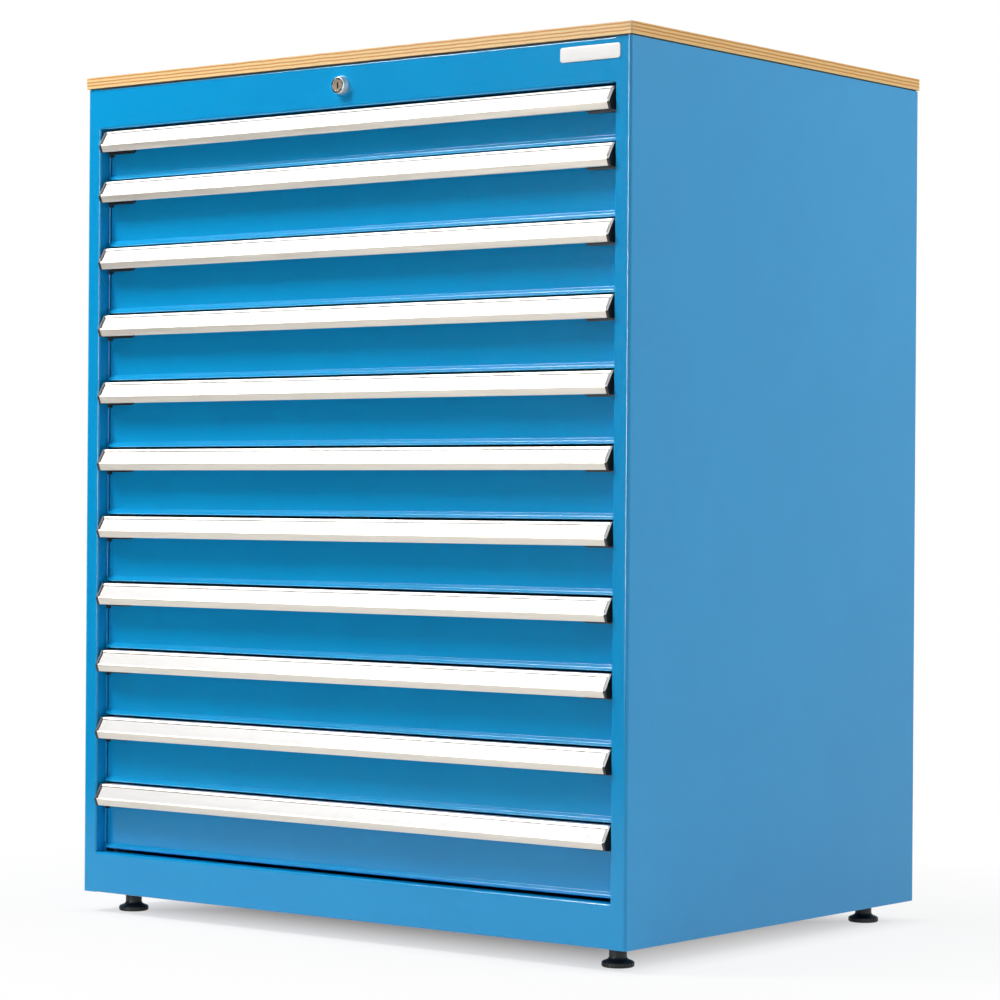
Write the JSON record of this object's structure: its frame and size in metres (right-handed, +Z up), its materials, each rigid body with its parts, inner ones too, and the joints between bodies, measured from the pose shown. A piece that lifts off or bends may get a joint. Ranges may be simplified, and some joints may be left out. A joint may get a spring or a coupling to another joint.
{
  "type": "drawer tool cabinet",
  "caption": "Floor standing sheet steel tool cabinet with full width drawers on telescopic slides, slanted aluminium grips, a central lock and a plywood worktop.",
  "frame": {"origin": "on the floor, at the middle of the overall width and depth", "axes": "+Z up, drawers open towards -Y, +X to the right as seen from the front"},
  "size_m": [1.01, 0.734, 1.248],
  "materials": {
    "body_paint": "blue powder coat, fine orange peel",
    "drawer_paint": "blue powder coat, fine orange peel",
    "grip_aluminium": "satin natural anodised",
    "cap_plastic": "black moulded",
    "slide_steel": "bright zinc plated",
    "plated_steel": "zinc plated",
    "plywood": "clear lacquered multi-ply",
    "lock_nickel": "satin nickel plated",
    "foot_plastic": "black moulded"
  },
  "bodies": {
    "cabinet": {"side_panel_left": "body_paint", "side_panel_right": "body_paint", "top_cover": "body_paint", "base_pan": "body_paint", "back_panel": "body_paint", "worktop": "plywood", "worktop_screws": "plated_steel", "slide_uprights": "plated_steel", "cabinet_rails": "slide_steel", "lock_housing": "lock_nickel"},
    "drawer_01": {"drawer_01_tray": "drawer_paint", "drawer_01_grip": "grip_aluminium", "drawer_01_grip_caps": "cap_plastic"},
    "drawer_01_mids": {"drawer_01_mid_slides": "slide_steel"},
    "drawer_02": {"drawer_02_tray": "drawer_paint", "drawer_02_grip": "grip_aluminium", "drawer_02_grip_caps": "cap_plastic"},
    "drawer_02_mids": {"drawer_02_mid_slides": "slide_steel"},
    "drawer_03": {"drawer_03_tray": "drawer_paint", "drawer_03_grip": "grip_aluminium", "drawer_03_grip_caps": "cap_plastic"},
    "drawer_03_mids": {"drawer_03_mid_slides": "slide_steel"},
    "drawer_04": {"drawer_04_tray": "drawer_paint", "drawer_04_grip": "grip_aluminium", "drawer_04_grip_caps": "cap_plastic"},
    "drawer_04_mids": {"drawer_04_mid_slides": "slide_steel"},
    "drawer_05": {"drawer_05_tray": "drawer_paint", "drawer_05_grip": "grip_aluminium", "drawer_05_grip_caps": "cap_plastic"},
    "drawer_05_mids": {"drawer_05_mid_slides": "slide_steel"},
    "drawer_06": {"drawer_06_tray": "drawer_paint", "drawer_06_grip": "grip_aluminium", "drawer_06_grip_caps": "cap_plastic"},
    "drawer_06_mids": {"drawer_06_mid_slides": "slide_steel"},
    "drawer_07": {"drawer_07_tray": "drawer_paint", "drawer_07_grip": "grip_aluminium", "drawer_07_grip_caps": "cap_plastic"},
    "drawer_07_mids": {"drawer_07_mid_slides": "slide_steel"},
    "drawer_08": {"drawer_08_tray": "drawer_paint", "drawer_08_grip": "grip_aluminium", "drawer_08_grip_caps": "cap_plastic"},
    "drawer_08_mids": {"drawer_08_mid_slides": "slide_steel"},
    "drawer_09": {"drawer_09_tray": "drawer_paint", "drawer_09_grip": "grip_aluminium", "drawer_09_grip_caps": "cap_plastic"},
    "drawer_09_mids": {"drawer_09_mid_slides": "slide_steel"},
    "drawer_10": {"drawer_10_tray": "drawer_paint", "drawer_10_grip": "grip_aluminium", "drawer_10_grip_caps": "cap_plastic"},
    "drawer_10_mids": {"drawer_10_mid_slides": "slide_steel"},
    "drawer_11": {"drawer_11_tray": "drawer_paint", "drawer_11_grip": "grip_aluminium", "drawer_11_grip_caps": "cap_plastic"},
    "drawer_11_mids": {"drawer_11_mid_slides": "slide_steel"},
    "lock_plug": {"lock_plug": "lock_nickel"},
    "locking_bar": {"locking_bar": "plated_steel"},
    "foot_front_left": {"foot_front_left": "foot_plastic"},
    "foot_front_right": {"foot_front_right": "foot_plastic"},
    "foot_rear_left": {"foot_rear_left": "foot_plastic"},
    "foot_rear_right": {"foot_rear_right": "foot_plastic"}
  },
  "joints": [
    {"name": "drawer_01_slide", "type": "slide", "parent": "cabinet", "child": "drawer_01", "axis": [0, -1, 0], "range_m": [0, 0.6]},
    {"name": "drawer_01_mids_slide", "type": "slide", "parent": "cabinet", "child": "drawer_01_mids", "axis": [0, -1, 0], "range_m": [0, 0.3]},
    {"name": "drawer_02_slide", "type": "slide", "parent": "cabinet", "child": "drawer_02", "axis": [0, -1, 0], "range_m": [0, 0.6]},
    {"name": "drawer_02_mids_slide", "type": "slide", "parent": "cabinet", "child": "drawer_02_mids", "axis": [0, -1, 0], "range_m": [0, 0.3]},
    {"name": "drawer_03_slide", "type": "slide", "parent": "cabinet", "child": "drawer_03", "axis": [0, -1, 0], "range_m": [0, 0.6]},
    {"name": "drawer_03_mids_slide", "type": "slide", "parent": "cabinet", "child": "drawer_03_mids", "axis": [0, -1, 0], "range_m": [0, 0.3]},
    {"name": "drawer_04_slide", "type": "slide", "parent": "cabinet", "child": "drawer_04", "axis": [0, -1, 0], "range_m": [0, 0.6]},
    {"name": "drawer_04_mids_slide", "type": "slide", "parent": "cabinet", "child": "drawer_04_mids", "axis": [0, -1, 0], "range_m": [0, 0.3]},
    {"name": "drawer_05_slide", "type": "slide", "parent": "cabinet", "child": "drawer_05", "axis": [0, -1, 0], "range_m": [0, 0.6]},
    {"name": "drawer_05_mids_slide", "type": "slide", "parent": "cabinet", "child": "drawer_05_mids", "axis": [0, -1, 0], "range_m": [0, 0.3]},
    {"name": "drawer_06_slide", "type": "slide", "parent": "cabinet", "child": "drawer_06", "axis": [0, -1, 0], "range_m": [0, 0.6]},
    {"name": "drawer_06_mids_slide", "type": "slide", "parent": "cabinet", "child": "drawer_06_mids", "axis": [0, -1, 0], "range_m": [0, 0.3]},
    {"name": "drawer_07_slide", "type": "slide", "parent": "cabinet", "child": "drawer_07", "axis": [0, -1, 0], "range_m": [0, 0.6]},
    {"name": "drawer_07_mids_slide", "type": "slide", "parent": "cabinet", "child": "drawer_07_mids", "axis": [0, -1, 0], "range_m": [0, 0.3]},
    {"name": "drawer_08_slide", "type": "slide", "parent": "cabinet", "child": "drawer_08", "axis": [0, -1, 0], "range_m": [0, 0.6]},
    {"name": "drawer_08_mids_slide", "type": "slide", "parent": "cabinet", "child": "drawer_08_mids", "axis": [0, -1, 0], "range_m": [0, 0.3]},
    {"name": "drawer_09_slide", "type": "slide", "parent": "cabinet", "child": "drawer_09", "axis": [0, -1, 0], "range_m": [0, 0.6]},
    {"name": "drawer_09_mids_slide", "type": "slide", "parent": "cabinet", "child": "drawer_09_mids", "axis": [0, -1, 0], "range_m": [0, 0.3]},
    {"name": "drawer_10_slide", "type": "slide", "parent": "cabinet", "child": "drawer_10", "axis": [0, -1, 0], "range_m": [0, 0.6]},
    {"name": "drawer_10_mids_slide", "type": "slide", "parent": "cabinet", "child": "drawer_10_mids", "axis": [0, -1, 0], "range_m": [0, 0.3]},
    {"name": "drawer_11_slide", "type": "slide", "parent": "cabinet", "child": "drawer_11", "axis": [0, -1, 0], "range_m": [0, 0.6]},
    {"name": "drawer_11_mids_slide", "type": "slide", "parent": "cabinet", "child": "drawer_11_mids", "axis": [0, -1, 0], "range_m": [0, 0.3]},
    {"name": "lock_turn", "type": "hinge", "parent": "cabinet", "child": "lock_plug", "pos_m": [0, -0.358, 1.2], "axis": [0, 1, 0], "range_deg": [0, 90]},
    {"name": "locking_bar_lift", "type": "slide", "parent": "cabinet", "child": "locking_bar", "axis": [0, 0, 1], "range_m": [0, 0.009]},
    {"name": "foot_front_left_turn", "type": "hinge", "parent": "cabinet", "child": "foot_front_left", "pos_m": [-0.4505, -0.303, 0], "axis": [0, 0, 1], "continuous": true},
    {"name": "foot_front_right_turn", "type": "hinge", "parent": "cabinet", "child": "foot_front_right", "pos_m": [0.4505, -0.303, 0], "axis": [0, 0, 1], "continuous": true},
    {"name": "foot_rear_left_turn", "type": "hinge", "parent": "cabinet", "child": "foot_rear_left", "pos_m": [-0.4505, 0.312, 0], "axis": [0, 0, 1], "continuous": true},
    {"name": "foot_rear_right_turn", "type": "hinge", "parent": "cabinet", "child": "foot_rear_right", "pos_m": [0.4505, 0.312, 0], "axis": [0, 0, 1], "continuous": true}
  ],
  "couplings": [
    {"joint": "drawer_01_mids_slide", "follows": "drawer_01_slide", "ratio": 0.5},
    {"joint": "drawer_02_mids_slide", "follows": "drawer_02_slide", "ratio": 0.5},
    {"joint": "drawer_03_mids_slide", "follows": "drawer_03_slide", "ratio": 0.5},
    {"joint": "drawer_04_mids_slide", "follows": "drawer_04_slide", "ratio": 0.5},
    {"joint": "drawer_05_mids_slide", "follows": "drawer_05_slide", "ratio": 0.5},
    {"joint": "drawer_06_mids_slide", "follows": "drawer_06_slide", "ratio": 0.5},
    {"joint": "drawer_07_mids_slide", "follows": "drawer_07_slide", "ratio": 0.5},
    {"joint": "drawer_08_mids_slide", "follows": "drawer_08_slide", "ratio": 0.5},
    {"joint": "drawer_09_mids_slide", "follows": "drawer_09_slide", "ratio": 0.5},
    {"joint": "drawer_10_mids_slide", "follows": "drawer_10_slide", "ratio": 0.5},
    {"joint": "drawer_11_mids_slide", "follows": "drawer_11_slide", "ratio": 0.5},
    {"joint": "lock_turn", "follows": "locking_bar_lift", "rad_per_m": 174.53}
  ]
}
